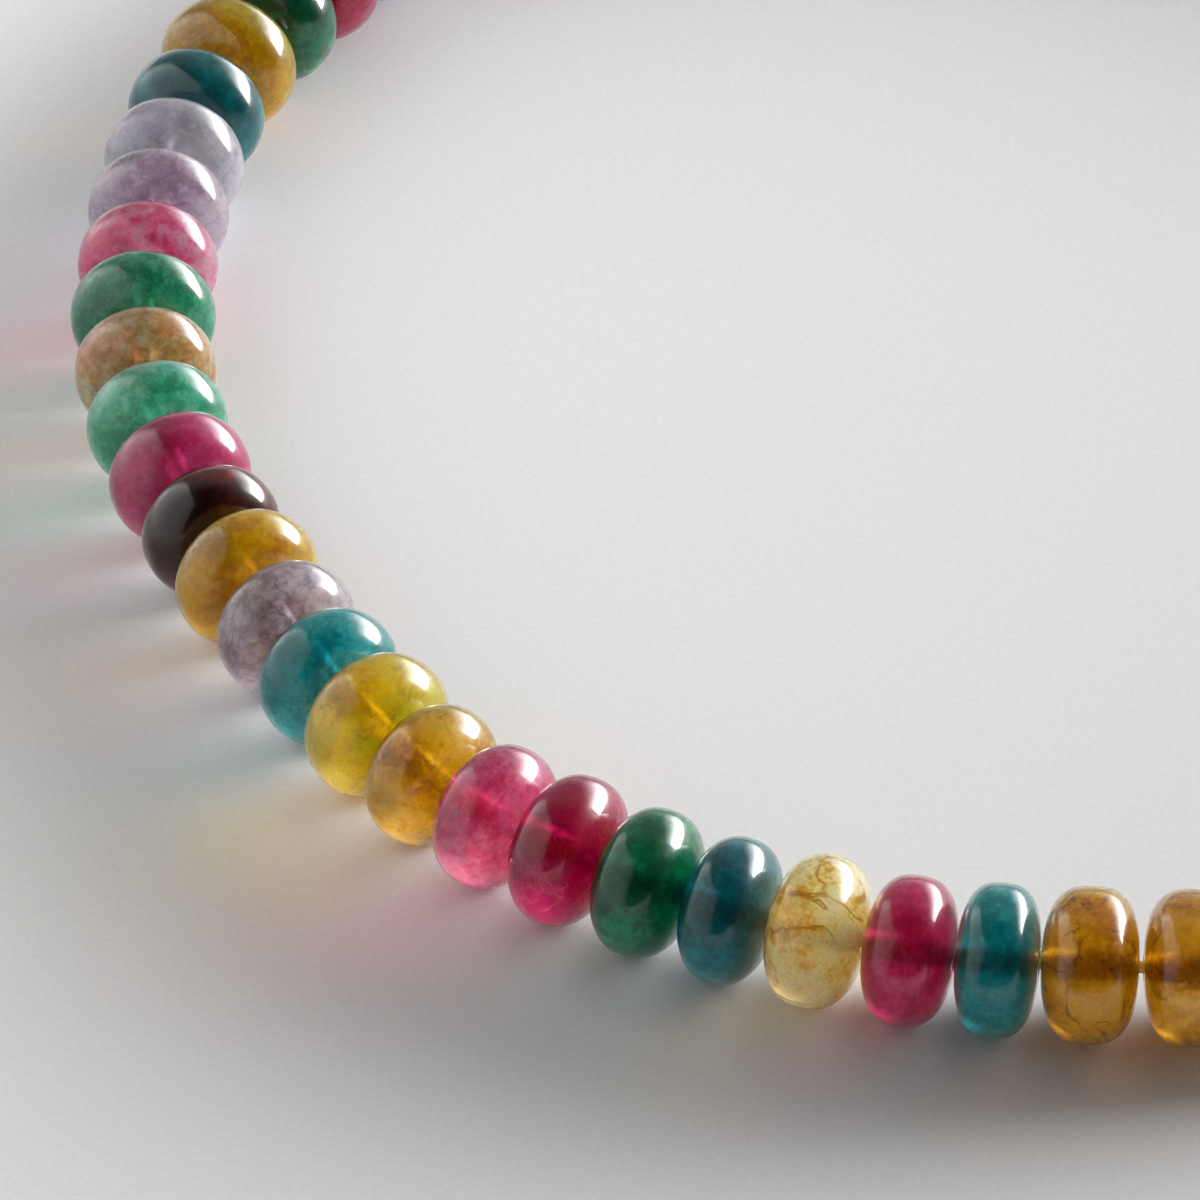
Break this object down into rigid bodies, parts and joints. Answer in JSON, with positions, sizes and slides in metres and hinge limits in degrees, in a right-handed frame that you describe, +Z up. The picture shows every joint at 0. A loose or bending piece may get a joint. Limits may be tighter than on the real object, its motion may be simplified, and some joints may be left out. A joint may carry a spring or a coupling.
{
  "type": "beaded necklace",
  "caption": "Closed strung necklace of smooth round-edged rondelle beads in mixed colours with a ball clasp, lying as a loop.",
  "frame": {"origin": "on the surface that the necklace lies on, under the middle of its outer box", "axes": "+Z up from that surface; -Y is the side nearest the viewer, where bead_01 lies, and +X is to the right"},
  "size_m": [0.1524, 0.1526, 0.0103],
  "materials": {
    "amber": "polished",
    "golden": "polished",
    "pale_yellow": "polished",
    "tan": "polished",
    "teal": "polished",
    "dark_teal": "polished",
    "green": "polished",
    "mint": "polished",
    "raspberry": "polished",
    "pink": "polished",
    "lilac": "polished",
    "black_brown": "polished",
    "back_beads": "polished",
    "thread": "satin",
    "clasp": "polished"
  },
  "bodies": {
    "root": {"bead_01": "amber", "bead_02": "amber", "bead_03": "teal", "bead_04": "raspberry", "bead_05": "pale_yellow", "bead_06": "dark_teal", "bead_07": "green", "bead_08": "raspberry", "bead_09": "raspberry", "bead_10": "amber", "bead_11": "golden", "bead_12": "teal", "bead_13": "lilac", "bead_14": "amber", "bead_15": "black_brown", "bead_16": "raspberry", "bead_17": "mint", "bead_18": "tan", "bead_19": "green", "bead_20": "pink", "bead_21": "lilac", "bead_22": "lilac", "bead_23": "dark_teal", "bead_24": "amber", "bead_25": "green", "bead_26": "raspberry", "bead_27": "lilac", "thread": "thread", "back_string_1": "back_beads", "back_string_2": "back_beads", "clasp": "clasp"}
  },
  "joints": []
}
